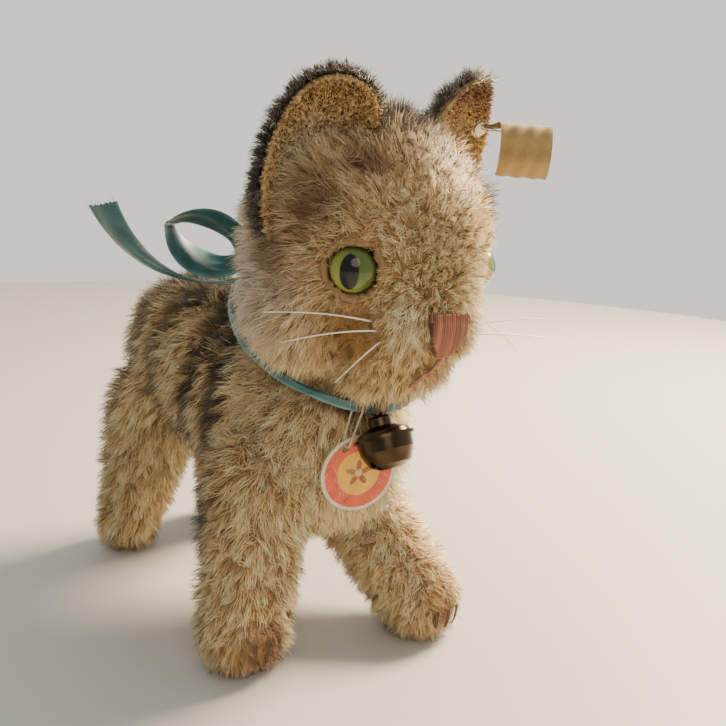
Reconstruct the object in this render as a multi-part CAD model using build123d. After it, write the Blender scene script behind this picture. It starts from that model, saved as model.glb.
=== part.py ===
from build123d import *
import math
import os

# A standing plush kitten in mohair: sewn cloth panels over a firm stuffing, a head on a disc joint,
# cupped ears, glass eyes, a ribbon with a bow, a sleigh bell and a round card tag.
# Millimetres. +Z is up, the kitten faces -Y and its right side is at -X. It stands on Z = 0.

# ---- driving dimensions ----
SHIFT_X = -0.5  # moves the whole kitten so that its box is centred on the origin
SHIFT_Y = 3.33
CLOTH = 2.2  # backing cloth with its pile pressed flat

# neck joint: a pin along a leaning axis, with a hardboard disc each side of two layers of cloth
NECK_LEAN = 25.0  # degrees forward of upright
NECK_BASE = (0, -22, 72)
NECK_RISE = 4.4  # from NECK_BASE to the plane where head and body meet
NECK_STUMP_R = 12.8
NECK_GAP = 0.2  # half of the gap between the two layers of cloth
NECK_CLOTH = 1.2
DISC_R = 10.5
DISC_T = 2.0
WASHER_R = 4.0
WASHER_T = 0.6
PIN_R = 1.0
PIN_FIT = 0.05
HEAD_TILT = 3.3  # degrees, the head leans a little to the kitten's left

# trunk and legs, each a tapered limb: (start, end, start radius, end radius)
TRUNK = ((0, -18, 50), (0, 34, 62), 21.7, 18.7)
CHEST = ((0, -20, 46), (0, -25, 56), 19.0, 15.5)
FRONT_RIGHT_LEG = ((-19, -22, 42), (-25.5, -27, 9.2), 11.7, 10.4)
FRONT_LEFT_LEG = ((13, -10, 36), (19.5, -39, 9.0), 11.7, 10.0)
HIND_RIGHT_LEG = ((-13, 36, 45), (-17, 47, 7.4), 12.4, 8.0)
HIND_LEFT_LEG = ((13, 36, 45), (17, 47, 7.4), 12.4, 8.0)
LIMBS = (TRUNK, CHEST, FRONT_RIGHT_LEG, FRONT_LEFT_LEG, HIND_RIGHT_LEG, HIND_LEFT_LEG)
SOLE_T = 1.6
# the seam between side and underbody, across the body (X, Z), along the fronts of the legs
FRONT_SEAM = ((-25.8, -1), (-24.6, 12), (-17, 33), (-11, 43))
FRONT_SEAM_LEFT = ((11, 43), (14, 33), (18.8, 12), (19.7, -1))
HIND_SEAM = ((-17.2, -1), (-16.6, 12), (-14, 33), (-11, 43))
SEAM_SPLIT_Y = 8.0

# head
SKULL = ((0, -34.5, 98), 27.0)
NAPE = ((0, -29, 86), 17.8)
CHEEK = ((13.4, -33, 86), 14.5)
MUZZLE = ((-4.5, -48.5, 84), (4.5, -48.5, 84), 12.5, 12.5)
CHIN = ((-4, -46.2, 76), (4, -46.2, 76), 10.2, 10.2)
GUSSET_HALF_W = 7.0
GUSSET_Z = 86.0
EYE = (17.0, -50.3, 95.0)
EYE_R = 5.2
EYE_BACK = 2.4  # the flat back of the glass, behind its centre
SHANK_WIRE_R = 0.5
NOSE_HALF_W = 5.6
NOSE_TOP_Z = 87.0
NOSE_LOW_Z = 77.6
NOSE_T = 1.0
MOUTH_T = 0.6
WHISKER_R = 0.2
WHISKER_TIP_R = 0.1

# ears: a cup cut from a hollow ball, seen square on through its outline; the right one first
EAR_CENTRES = {-1: (-20.6, -38.1, 122.8), 1: (21.8, -38.0, 124.0)}
EAR_FACINGS = {-1: (-0.30, -0.86, -0.40), 1: (0.10, -0.93, -0.35)}
EAR_CUP_R = 27.0
LINING_T = 1.0
EAR_BACK_T = 1.6
EAR_OUTLINES = {
    -1: ((-9.5, -43.5, 124), (-12.5, -46.5, 128.8), (-16, -46.5, 131), (-20.5, -45.3, 131.2),
         (-24, -44, 129.4), (-27.5, -42, 124), (-29.5, -39.5, 116.5), (-28.7, -32.3, 109.8),
         (-25.5, -26.5, 103.5)),
    1: ((9.5, -43.5, 123.5), (13, -47, 130.5), (17.5, -46.5, 134.3), (21.5, -45, 134.8),
        (26, -42.5, 131), (29.5, -40, 124.5), (30, -37.5, 117), (28.7, -32.3, 109.8),
        (25.5, -26.5, 103.5))}

# ribbon, bell and tag
RING_CENTRE = (0, -21.6, 74.6)
RING_RX = 22.0
RING_RY = 27.4
RIBBON_W = 2.2  # the ribbon bunched into a narrow band round the neck
RIBBON_T = 0.8
KNOT_R = 2.6
RIBBON_LOOP_W = 8.0
RIBBON_TAIL_W = 6.6
BELL_HANG = (-4, -45.6, 63.4)
BELL_LOOP_R = 1.7
BELL_LEAN = 27.0
BELL_R = 6.25
BELL_WALL = 0.45
FLANGE_R = 6.85
FLANGE_HALF_T = 0.35
BELL_DROP = 6.4  # from the ribbon to the bell's joint plane
BOWL_DEPTH = 7.1
PELLET_R = 1.9
PELLET_GAP = 0.45  # under the pellet where it rests
TAG_CENTRE = (-4.4, -40.9, 47.2)
TAG_FACING = (-0.25, -0.96, -0.05)
TAG_R = 9.2
TAG_T = 0.5
TAG_HOLE = (-3.7, 6.4)  # from the card's centre, along and up its face
TAG_HOLE_R = 1.0
THREAD_R = 0.25
THREAD_LOW_R = 1.2  # the thread's loop where it passes the card
THREAD_TOP_R = 1.6  # and round the ribbon
FLAG_CENTRE = (35, -45, 121)  # middle of the curled cloth flag at the left ear
FLAG_FACING = (-0.63, -0.74, 0.24)
FLAG_CURL_R = 6.5
FLAG_W = 12.0
FLAG_T = 0.5
BUTTON_PLACE = (4.6, 1.5)  # on the left ear's lining, across and up
BUTTON_R = 2.3

# tail, laid round the left hip
TAIL_R = 4.0
TAIL_WIRE_R = 0.6


def moved_to_origin(point):
    """The same point with the kitten's box centred on the origin."""
    return Vector(point[0] + SHIFT_X, point[1] + SHIFT_Y, point[2])


# ---- the neck's own axes ----
lean = math.radians(NECK_LEAN)
NECK_UP = Vector(0, -math.sin(lean), math.cos(lean))
NECK = moved_to_origin(NECK_BASE) + NECK_UP * NECK_RISE
NECK_PLANE = Plane(origin=NECK, x_dir=(1, 0, 0), z_dir=NECK_UP)


def in_head(point):
    """A point of the head after the head's small sideways tilt about the neck."""
    offset = moved_to_origin(point) - NECK
    return NECK + offset.rotate(Axis((0, 0, 0), (0, 1, 0)), HEAD_TILT)


def head_direction(direction):
    return Vector(*direction).rotate(Axis((0, 0, 0), (0, 1, 0)), HEAD_TILT).normalized()


def export(name, shape):
    """Writes one node, as one solid or a group of separate solids."""
    solids = shape.solids()
    body = solids[0] if len(solids) == 1 else Compound(children=list(solids))
    body.label = name
    export_step(body, f"parts/{name}.step")


def ball(centre, radius):
    return Pos(*centre) * Sphere(radius)


def limb(start, end, start_r, end_r):
    """A tapered limb with round ends, turned about the line from start to end."""
    start, end = Vector(*start), Vector(*end)
    length = (end - start).length
    slope = math.asin((start_r - end_r) / length)
    side = [(r * math.cos(slope), h + r * math.sin(slope)) for r, h in ((start_r, 0), (end_r, length))]
    quarter = (slope - math.pi / 2) / 2
    low = (start_r * math.cos(quarter), start_r * math.sin(quarter))
    quarter = (slope + math.pi / 2) / 2
    high = (end_r * math.cos(quarter), length + end_r * math.sin(quarter))
    outline = ThreePointArc((0, -start_r), low, side[0])
    outline += Line(side[0], side[1])
    outline += ThreePointArc(side[1], high, (0, length + end_r))
    outline += Line((0, length + end_r), (0, -start_r))
    profile = Plane.XZ * make_face(outline)
    turned = revolve(profile, Axis.Z)
    return Plane(origin=start, z_dir=end - start) * turned


def neck_cylinder(radius, low, high):
    """A cylinder on the neck's axis, between two heights above the neck plane."""
    return NECK_PLANE * Pos(0, 0, (low + high) / 2) * Cylinder(radius, high - low)


def half_space_box(size, low_z):
    return Pos(0, 0, low_z + size / 2) * Box(size, size, size)


# ---- body: outer skin, stuffing and the four sewn panels ----
def body_form(inset, floor, stump_r, stump_top):
    """The body's form, drawn in by an inset, standing on a floor and ending at the neck."""
    form = None
    for start, end, start_r, end_r in LIMBS:
        piece = limb(moved_to_origin(start), moved_to_origin(end), start_r - inset, end_r - inset)
        form = piece if form is None else form + piece
    form += neck_cylinder(stump_r, -22, stump_top)
    return form & half_space_box(400, floor)


def seam_prism(points, y_low, y_high):
    """A block whose front view has the given corners, from y_low to y_high."""
    face = make_face(Polyline(*[(x + SHIFT_X, z) for x, z in points], close=True))
    block = extrude(Plane.XZ * face, y_high - y_low)
    return Pos(0, y_high + SHIFT_Y, 0) * block


def make_body():
    outer = body_form(0, 0, NECK_STUMP_R, -NECK_GAP)
    inner = body_form(CLOTH, SOLE_T, NECK_STUMP_R - CLOTH, -NECK_GAP - NECK_CLOTH)
    pin_hole = neck_cylinder(PIN_R, -12, 12)
    shell = outer - inner - pin_hole
    front = seam_prism(FRONT_SEAM + FRONT_SEAM_LEFT, -80, SEAM_SPLIT_Y)
    hind_left = tuple((-x, z) for x, z in reversed(HIND_SEAM))
    hind = seam_prism(HIND_SEAM + hind_left, SEAM_SPLIT_Y, 90)
    under = front + hind
    right_half = Pos(SHIFT_X - 100, 0, 50) * Box(200, 400, 400)
    left_half = Pos(SHIFT_X + 100, 0, 50) * Box(200, 400, 400)
    export("body_right_side", (shell & right_half) - under)
    export("body_left_side", (shell & left_half) - under)
    export("underbody_right", shell & under & right_half)
    export("underbody_left", shell & under & left_half)
    disc_low = -NECK_GAP - NECK_CLOTH - DISC_T
    pocket = neck_cylinder(DISC_R, disc_low, 0)
    pocket += neck_cylinder(WASHER_R, disc_low - WASHER_T, disc_low)
    pocket += neck_cylinder(3.2, disc_low - WASHER_T - 4.4, disc_low)
    export("body_stuffing", inner - pocket)


# ---- neck joint ----
def make_neck_joint():
    low = NECK_GAP + NECK_CLOTH
    body_disc = neck_cylinder(DISC_R, -low - DISC_T, -low) - neck_cylinder(PIN_R, -12, 12)
    head_disc = neck_cylinder(DISC_R, low, low + DISC_T) - neck_cylinder(PIN_R + PIN_FIT, -12, 12)
    far = low + DISC_T
    body_washer = neck_cylinder(WASHER_R, -far - WASHER_T, -far) - neck_cylinder(PIN_R, -12, 12)
    head_washer = neck_cylinder(WASHER_R, far, far + WASHER_T) - neck_cylinder(PIN_R + PIN_FIT, -12, 12)
    export("neck_body_disc", body_disc)
    export("neck_head_disc", head_disc)
    export("neck_body_washer", body_washer)
    export("neck_head_washer", head_washer)
    top = far + WASHER_T + PIN_FIT
    eye_r = 1.9
    pin = neck_cylinder(PIN_R, -far - WASHER_T - 1.2, top + 0.8)
    pin += NECK_PLANE * Pos(0, 0, top + eye_r + 0.7) * Rot(90, 0, 0) * Torus(eye_r, 0.7)
    for side in (-1, 1):
        leg = Pos(side * 1.2, 0, -far - WASHER_T - 1.5) * Rot(0, side * 20, 0) * Box(2.6, 1.2, 0.7)
        pin += NECK_PLANE * leg
    export("neck_cotter_pin", pin)


# ---- head ----
def head_form(inset, neck_r, neck_low):
    """The head's form, drawn in by an inset and cut away round the neck."""
    form = ball(in_head(SKULL[0]), SKULL[1] - inset) + ball(in_head(NAPE[0]), NAPE[1] - inset)
    for side in (-1, 1):
        centre = (side * CHEEK[0][0], CHEEK[0][1], CHEEK[0][2])
        form += ball(in_head(centre), CHEEK[1] - inset)
    for start, end, start_r, end_r in (MUZZLE, CHIN):
        form += limb(in_head(start), in_head(end), start_r - inset, end_r - inset)
    return form - neck_cylinder(neck_r, -30, neck_low)


def head_slab():
    """The strip of the head that the centre gusset covers, from the nose to the nape."""
    centre = in_head((0, -34.5, GUSSET_Z + 30))
    return Pos(*centre) * Rot(0, HEAD_TILT, 0) * Box(2 * GUSSET_HALF_W, 90, 60)


def head_half(side):
    centre = in_head((side * 50, -34.5, 100))
    return Pos(*centre) * Rot(0, HEAD_TILT, 0) * Box(100, 120, 140)


def eye_facing(side):
    centre = Vector(side * EYE[0], EYE[1], EYE[2])
    return head_direction(centre - Vector(*SKULL[0]))


def eye_solid(side):
    """A ball of glass with a flat back, facing out of the head."""
    centre = in_head((side * EYE[0], EYE[1], EYE[2]))
    plane = Plane(origin=centre, z_dir=eye_facing(side))
    return plane * (Sphere(EYE_R) & (Pos(0, 0, 10 - EYE_BACK) * Box(20, 20, 20)))


def shank(side, wire_r, hole):
    """The wire loop behind an eye, or the hole in the stuffing that it needs."""
    centre = in_head((side * EYE[0], EYE[1], EYE[2]))
    plane = Plane(origin=centre, z_dir=eye_facing(side))
    if hole:
        return plane * Pos(0, 0, -EYE_BACK - 4) * Cylinder(2.6, 8)
    loop = Pos(0, 0, -EYE_BACK - 3.2) * Rot(90, 0, 0) * Torus(1.6, wire_r)
    stem = Pos(0, 0, -EYE_BACK - 0.9) * Cylinder(wire_r, 1.8)
    return plane * (loop + stem)


def nose_prism(half_w, top_z, low_z, point_z):
    """A block through the muzzle's front with the nose's three-cornered outline."""
    corners = ((-half_w, top_z), (half_w, top_z), (half_w * 0.9, low_z + 4.5), (1.4, point_z),
               (-1.4, point_z), (-half_w * 0.9, low_z + 4.5))
    face = make_face(Polyline(*corners, close=True))
    block = extrude(Plane.XZ * face, 14)
    block = Pos(0, -50.5, 0) * block
    block = Pos(SHIFT_X, SHIFT_Y, 0) * block
    return tilt_about_neck(block)


def tilt_about_neck(shape):
    return Pos(*NECK) * Rot(0, HEAD_TILT, 0) * Pos(*(-NECK)) * shape


def muzzle_form(grow):
    muzzle = limb(in_head(MUZZLE[0]), in_head(MUZZLE[1]), MUZZLE[2] + grow, MUZZLE[3] + grow)
    return muzzle + limb(in_head(CHIN[0]), in_head(CHIN[1]), CHIN[2] + grow, CHIN[3] + grow)


def ear_plane(side):
    facing = head_direction(EAR_FACINGS[side])
    return Plane(origin=in_head(EAR_CENTRES[side]), x_dir=Vector(1, 0, 0), z_dir=facing)


def ear_layer(side, near_r, far_r, head):
    """One layer of an ear: the outline cut out of a hollow ball, clear of the head."""
    plane = ear_plane(side)
    points = [plane.to_local_coords(in_head(point)) for point in EAR_OUTLINES[side]]
    flat = [(p.X, p.Y) for p in points]
    outline = Spline(*flat) + Line(flat[-1], flat[0])
    prism = extrude(make_face(outline), 14, both=True)
    cup = Pos(0, 0, EAR_CUP_R) * (Sphere(far_r) - Sphere(near_r))
    layer = plane * (prism & cup)
    layer = layer - head
    return max(layer.solids(), key=lambda s: s.volume)


def make_head():
    outer = head_form(0, NECK_STUMP_R + 0.5, NECK_GAP)
    inner = head_form(CLOTH, NECK_STUMP_R + 0.5 + NECK_CLOTH, NECK_GAP + NECK_CLOTH)
    eyes = {side: eye_solid(side) for side in (-1, 1)}
    shell = outer - inner - neck_cylinder(PIN_R + 0.6, -12, 12) - eyes[-1] - eyes[1]
    shell = shell - shank(-1, 0, True) - shank(1, 0, True)
    slab = head_slab()
    export("head_gusset", shell & slab)
    export("head_right_side", (shell - slab) & head_half(-1))
    export("head_left_side", (shell - slab) & head_half(1))
    high = NECK_GAP + NECK_CLOTH + DISC_T
    pocket = neck_cylinder(DISC_R, 0, high) + neck_cylinder(WASHER_R, high, high + WASHER_T)
    pocket += neck_cylinder(3.2, high, high + WASHER_T + 6.0)
    stuffing = inner - pocket
    for side in (-1, 1):
        stuffing = stuffing - eyes[side] - shank(side, 0, True)
    export("head_stuffing", stuffing)
    export("right_eye", eyes[-1])
    export("left_eye", eyes[1])
    shanks = [shank(side, SHANK_WIRE_R, False).solids()[0] for side in (-1, 1)]
    export("eye_shanks", Compound(children=shanks))
    outline = nose_prism(NOSE_HALF_W, NOSE_TOP_Z, NOSE_LOW_Z, NOSE_LOW_Z)
    nose = (muzzle_form(NOSE_T) - muzzle_form(0)) & outline
    export("nose_stitching", nose)
    mouth = mouth_stitches()
    export("mouth_stitching", mouth)
    for side, name in ((-1, "right"), (1, "left")):
        lining = ear_layer(side, EAR_CUP_R, EAR_CUP_R + LINING_T, outer)
        back = ear_layer(side, EAR_CUP_R + LINING_T, EAR_CUP_R + LINING_T + EAR_BACK_T, outer)
        if side == 1:
            make_flag(lining + back)
            lining = lining - button_shank()
            back = back - button_shank()
        export(f"{name}_ear_lining", lining)
        export(f"{name}_ear_back", back)
    make_ear_button()


def mouth_stitches():
    """The mouth: one upright stitch under the nose and a slanting one each side of its foot."""
    skin = muzzle_form(MOUTH_T) - muzzle_form(0)
    upright = Pos(0, -57, NOSE_LOW_Z - 2.1) * Box(0.9, 14, 3.8)
    blocks = upright
    for side in (-1, 1):
        slant = Pos(side * 2.2, -57, NOSE_LOW_Z - 5.2) * Rot(0, side * 35, 0) * Box(5.4, 14, 0.9)
        blocks += slant
    return skin & tilt_about_neck(Pos(SHIFT_X, SHIFT_Y, 0) * blocks)


def make_whiskers():
    """Stiff hairs, each a fine tapered rod that starts at the skin of the muzzle's side."""
    rows = ((-0.86, -0.62, -0.1, (-35, -52, 81)), (-0.78, -0.7, -0.28, (-25, -57, 73.5)),
            (-0.9, -0.52, 0.06, (-36, -47, 86)), (0.86, -0.62, -0.1, (37, -60, 84)),
            (0.78, -0.7, -0.28, (41.5, -59, 78.5)), (0.9, -0.52, 0.06, (31, -54, 76)))
    hairs = []
    for x, y, z, tip in rows:
        middle = MUZZLE[0] if x < 0 else MUZZLE[1]
        outward = Vector(x, y, z).normalized() * (MUZZLE[2] + WHISKER_R + 0.05)
        root = Vector(*middle) + outward
        hairs.append(limb(in_head(tuple(root)), in_head(tip), WHISKER_R, WHISKER_TIP_R).solids()[0])
    export("whiskers", Compound(children=hairs))


def make_claw_stitches():
    """What is left of the claw stitching: short threads across the tips of the front paws."""
    threads = []
    for leg in (FRONT_RIGHT_LEG, FRONT_LEFT_LEG):
        foot = moved_to_origin(leg[1])
        for step in (-1, 0, 1):
            angle = math.radians(18 * step)
            reach = leg[3] + 0.36
            top = foot + Vector(math.sin(angle) * reach, -math.cos(angle) * reach, 0)
            low = math.radians(32)
            bottom = foot + Vector(math.sin(angle) * reach * math.cos(low),
                                   -math.cos(angle) * reach * math.cos(low), -reach * math.sin(low))
            thread = limb(top, bottom, 0.34, 0.34)
            skin = ball(foot, leg[3])
            threads.append((thread - skin).solids()[0])
    export("claw_stitches", Compound(children=threads))


# ---- ear button and its cloth flag, in the left ear ----
def button_plane():
    """On the lining of the left ear, square to its cupped face."""
    across, up = BUTTON_PLACE
    depth = math.sqrt(EAR_CUP_R ** 2 - across ** 2 - up ** 2)
    plane = ear_plane(1)
    spot = plane.from_local_coords(Vector(across, up, EAR_CUP_R - depth))
    middle = plane.from_local_coords(Vector(0, 0, EAR_CUP_R))
    return Plane(origin=spot, z_dir=middle - spot)


def button_shank():
    return button_plane() * Pos(0, 0, -1) * Cylinder(0.9, 4.4)


def make_ear_button():
    """A hollow-headed rivet: a low dome in front, a shank through the ear and a clenched end."""
    dome = Pos(0, 0, 0.45) * Cylinder(BUTTON_R, 0.5) + Pos(0, 0, 0.9) * Cylinder(BUTTON_R - 0.6, 0.4)
    clench = Pos(0, 0, -LINING_T - EAR_BACK_T - 0.45) * Cylinder(1.7, 0.5)
    middle = (0.45 - LINING_T - EAR_BACK_T - 0.45) / 2
    shank_part = Pos(0, 0, middle) * Cylinder(0.9, 0.9 + LINING_T + EAR_BACK_T)
    export("ear_button", button_plane() * (dome + clench + shank_part))


def make_flag(ear):
    """A strip of stiff old cloth, curled into a half pipe, hanging off the ear's outer edge."""
    centre = in_head(FLAG_CENTRE)
    facing = head_direction(FLAG_FACING)
    along = facing.cross(Vector(0, 0, 1)).normalized() * -1
    plane = Plane(origin=centre, x_dir=facing, z_dir=along)
    pipe = Cylinder(FLAG_CURL_R, FLAG_W) - Cylinder(FLAG_CURL_R - FLAG_T, FLAG_W + 1)
    pipe = pipe & (Pos(10.5, 0, 0) * Box(20, 30, 30))
    flag = plane * pipe - ear - button_plane() * Pos(0, 0, 0.5) * Cylinder(BUTTON_R + 0.3, 1.6)
    export("ear_flag", max(flag.solids(), key=lambda solid: solid.volume))


# ---- ribbon ----
def ring_plane():
    return Plane(origin=moved_to_origin(RING_CENTRE), x_dir=(1, 0, 0), z_dir=NECK_UP)


def make_ribbon():
    band = extrude(Ellipse(RING_RX, RING_RY) - Ellipse(RING_RX - RIBBON_T, RING_RY - RIBBON_T), RIBBON_W)
    export("collar_ribbon", ring_plane() * Pos(0, 0, -RIBBON_W / 2) * band)


def make_bow():
    """The bow behind the neck: a knot, two loops and two tails of the same ribbon."""
    knot_centre = ring_plane().from_local_coords(Vector(0, RING_RY + KNOT_R + 0.05, 0))
    knot_box = Pos(*knot_centre) * Rot(NECK_LEAN, 0, 0) * Box(5.4, 2 * KNOT_R, 5.0)
    export("bow_knot", fillet(knot_box.edges(), 1.6))
    for side, name in ((-1, "right"), (1, "left")):
        start = knot_centre + Vector(side * 3.2, 1.0, 1.4)
        plane = Plane(origin=start, x_dir=Vector(side * 17, 8, 9), z_dir=Vector(side * 0.43, -0.9, 0))
        outer = loop_face(((0, 0.6), (12, 8.6), (23, 0.5), (12, -8.2), (0, -0.6)))
        inner = loop_face(((1.4, 0.3), (12, 8.0), (22.4, 0.5), (12, -7.6), (1.4, -0.3)))
        loop = extrude(outer, RIBBON_LOOP_W / 2, both=True) - extrude(inner, RIBBON_LOOP_W, both=True)
        export(f"bow_{name}_loop", plane * loop)
        tail_start = knot_centre + Vector(side * 2.9, 1.2, -2.6)
        tail_plane = Plane(origin=tail_start, x_dir=Vector(side, 0.15, 0), z_dir=Vector(0.15, -side, 0))
        tail_edge = ThreePointArc((0, 0), (21, -0.5), (38.5, 19)) + Line((38.5, 19), (39, 18.4))
        tail_edge += ThreePointArc((39, 18.4), (21.3, -1.3), (0, -0.8)) + Line((0, -0.8), (0, 0))
        tail = extrude(make_face(tail_edge), RIBBON_TAIL_W / 2, both=True)
        export(f"bow_{name}_tail", tail_plane * tail)


def loop_face(points):
    """A closed drop-shaped outline: out over the top of the loop and back underneath."""
    start, top, tip, low, end = points
    outline = ThreePointArc(start, top, tip) + ThreePointArc(tip, low, end) + Line(end, start)
    return make_face(outline)


# ---- bell ----
def bell_plane():
    """At the ribbon, with Z down along the bell."""
    bell_lean = math.radians(BELL_LEAN)
    down = Vector(0, -math.sin(bell_lean), -math.cos(bell_lean))
    return Plane(origin=moved_to_origin(BELL_HANG), x_dir=(1, 0, 0), z_dir=down)


def turned(points):
    """A closed outline of radius and height, turned about the bell's axis."""
    return revolve(Plane.XZ * make_face(Polyline(*points, close=True)), Axis.Z)


def make_bell():
    plane = bell_plane()
    joint = BELL_DROP
    wall = BELL_WALL
    rim = Cylinder(FLANGE_R, FLANGE_HALF_T) - Cylinder(BELL_R - wall, 4)
    bowl = turned(((BELL_R, joint), (6.0, joint + 3), (4.7, joint + 5.9), (2.5, joint + 6.9),
                   (0, joint + BOWL_DEPTH), (0, joint + BOWL_DEPTH - wall), (2.3, joint + 6.9 - wall),
                   (4.4, joint + 5.6), (6.0 - wall, joint + 2.9), (BELL_R - wall, joint)))
    bowl += Pos(0, 0, joint + FLANGE_HALF_T / 2) * rim
    slot = Pos(0, 0, joint + BOWL_DEPTH) * Box(8.4, 1.1, 4.4)
    for side in (-1, 1):
        slot += Pos(side * 4.2, 0, joint + BOWL_DEPTH - 1.4) * Cylinder(1.0, 4.4)
    bowl = bowl - slot
    dome = turned(((BELL_R, joint), (5.7, joint - 1.3), (3.5, joint - 2.2), (2.5, joint - 2.5),
                   (2.5, joint - 4.2), (2.1, joint - 4.7), (0, joint - 4.8), (0, joint - 4.8 + wall),
                   (2.5 - wall, joint - 4.1), (2.5 - wall, joint - 2.3), (3.4, joint - 1.8),
                   (5.4, joint - 1.0), (BELL_R - wall, joint)))
    dome += Pos(0, 0, joint - FLANGE_HALF_T / 2) * rim
    export("bell_upper_shell", plane * dome)
    export("bell_lower_bowl", plane * bowl)
    loop = Rot(0, 90, 0) * Torus(BELL_LOOP_R, 0.35)
    loop = loop & (Pos(0, 0, joint - 4.8 - 5) * Box(10, 10, 10))
    export("bell_loop", plane * loop)
    pellet = Pos(0, 0, joint + BOWL_DEPTH - wall - PELLET_R - PELLET_GAP) * Sphere(PELLET_R)
    export("bell_pellet", plane * pellet)


# ---- card tag ----
def tag_plane():
    return Plane(origin=moved_to_origin(TAG_CENTRE), x_dir=(1, 0, 0), z_dir=TAG_FACING)


def tag_hole_place():
    """The card's hole, near its upper edge on the kitten's right."""
    plane = tag_plane()
    up = (Vector(0, 0, 1) - plane.z_dir * Vector(0, 0, 1).dot(plane.z_dir)).normalized()
    across = up.cross(plane.z_dir).normalized()
    return plane.origin + across * TAG_HOLE[0] + up * TAG_HOLE[1]


def make_tag():
    plane = tag_plane()
    hole_place = tag_hole_place()
    hole = Plane(origin=hole_place, z_dir=plane.z_dir) * Cylinder(TAG_HOLE_R, 3)
    card = plane * extrude(Circle(TAG_R), TAG_T / 2, both=True) - hole
    export("card_tag", card)
    top = ribbon_place(hole_place.X)
    low = hole_place + (top - hole_place).normalized() * (THREAD_LOW_R + TAG_HOLE_R - THREAD_R - 0.25)
    run = top - low
    loop_plane = Plane(origin=low, x_dir=run, z_dir=run.cross(Vector(0, 1, 0)))
    taper = math.asin((THREAD_TOP_R - THREAD_LOW_R) / run.length)
    low_in = (-THREAD_LOW_R * math.sin(taper), THREAD_LOW_R * math.cos(taper))
    top_in = (run.length - THREAD_TOP_R * math.sin(taper), THREAD_TOP_R * math.cos(taper))
    path = Line(low_in, top_in)
    path += ThreePointArc(top_in, (run.length + THREAD_TOP_R, 0), (top_in[0], -top_in[1]))
    path += Line((top_in[0], -top_in[1]), (low_in[0], -low_in[1]))
    path += ThreePointArc((low_in[0], -low_in[1]), (-THREAD_LOW_R, 0), low_in)
    section = Plane(origin=(*low_in, 0), z_dir=(math.cos(taper), math.sin(taper), 0)) * Circle(THREAD_R)
    export("tag_thread", loop_plane * sweep(section, path=path))


def ribbon_place(x):
    """The middle of the ribbon in front of the neck, at a given X."""
    reach = (RING_RY - RIBBON_T / 2) * math.sqrt(1 - ((x - SHIFT_X) / (RING_RX - RIBBON_T / 2)) ** 2)
    return ring_plane().from_local_coords(Vector(x - SHIFT_X, -reach, 0))


def tail_path(radius, start_clear):
    """A tube from the rump round the left hip, with a round end."""
    points = [moved_to_origin(p) for p in ((4, 51 + start_clear, 62), (19.5, 48.5, 55), (29.5, 35, 45))]
    path = ThreePointArc(*points)
    section = Plane(origin=points[0], z_dir=path % 0) * Circle(radius)
    tube = sweep(section, path=path)
    return tube + ball(points[2], radius)


def make_tail(body_outer):
    cover = tail_path(TAIL_R, 0) - body_outer
    wire = tail_path(TAIL_WIRE_R, 0) & tail_path(TAIL_R - 1.6, 0)
    cover = max(cover.solids(), key=lambda s: s.volume)
    export("tail_cover", cover - wire)
    export("tail_wire", wire - body_outer)


if __name__ == "__main__":
    os.makedirs("parts", exist_ok=True)
    make_body()
    make_neck_joint()
    make_head()
    make_whiskers()
    make_claw_stitches()
    make_ribbon()
    make_bow()
    make_bell()
    make_tag()
    make_tail(body_form(0, 0, NECK_STUMP_R, -NECK_GAP))
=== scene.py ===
import bpy
import math
import numpy as np
from mathutils import Matrix, Vector
from mathutils.bvhtree import BVHTree
from mathutils.kdtree import KDTree


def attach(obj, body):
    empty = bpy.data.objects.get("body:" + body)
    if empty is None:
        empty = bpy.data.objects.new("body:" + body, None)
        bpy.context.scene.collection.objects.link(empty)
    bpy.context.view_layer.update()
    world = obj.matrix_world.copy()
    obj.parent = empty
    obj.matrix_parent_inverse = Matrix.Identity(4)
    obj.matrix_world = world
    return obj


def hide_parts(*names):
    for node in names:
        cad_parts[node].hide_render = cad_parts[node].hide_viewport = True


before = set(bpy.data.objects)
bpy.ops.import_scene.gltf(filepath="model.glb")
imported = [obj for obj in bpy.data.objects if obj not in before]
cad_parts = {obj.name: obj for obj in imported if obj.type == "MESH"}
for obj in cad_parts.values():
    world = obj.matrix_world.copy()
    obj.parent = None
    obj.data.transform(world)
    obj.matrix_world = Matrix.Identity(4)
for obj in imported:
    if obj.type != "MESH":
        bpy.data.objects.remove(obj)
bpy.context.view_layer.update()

# ---- table top, soft window light and the camera ----
# The kitten stands on a plain pale table. A large warm light comes from its far side, on the right of the
# view, with a weak cool one in front, so its right flank is in soft shade and its shadow falls to the left.
MM = 0.001


def colour_material(name, colour, roughness):
    material = bpy.data.materials.new(name)
    material.use_nodes = True
    shader = material.node_tree.nodes["Principled BSDF"]
    shader.inputs["Base Color"].default_value = (*colour, 1)
    shader.inputs["Roughness"].default_value = roughness
    return material, material.node_tree, shader


def soft_light(name, place, aim, size, power, colour):
    light = bpy.data.lights.new(name, "AREA")
    light.shape = "DISK"
    light.size = size
    light.energy = power
    light.color = colour
    lamp = bpy.data.objects.new(name, light)
    bpy.context.collection.objects.link(lamp)
    lamp.location = place
    lamp.rotation_euler = (Vector(aim) - Vector(place)).to_track_quat("-Z", "Y").to_euler()


bpy.ops.object.select_all(action="DESELECT")
bpy.ops.mesh.primitive_circle_add(vertices=96, radius=0.5, fill_type="NGON", location=(0, 0, 0))
floor = bpy.context.active_object
floor.name = "table_top"
floor_paint, _, _ = colour_material("table top", (0.60, 0.585, 0.54), 0.55)
floor.data.materials.append(floor_paint)

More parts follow.
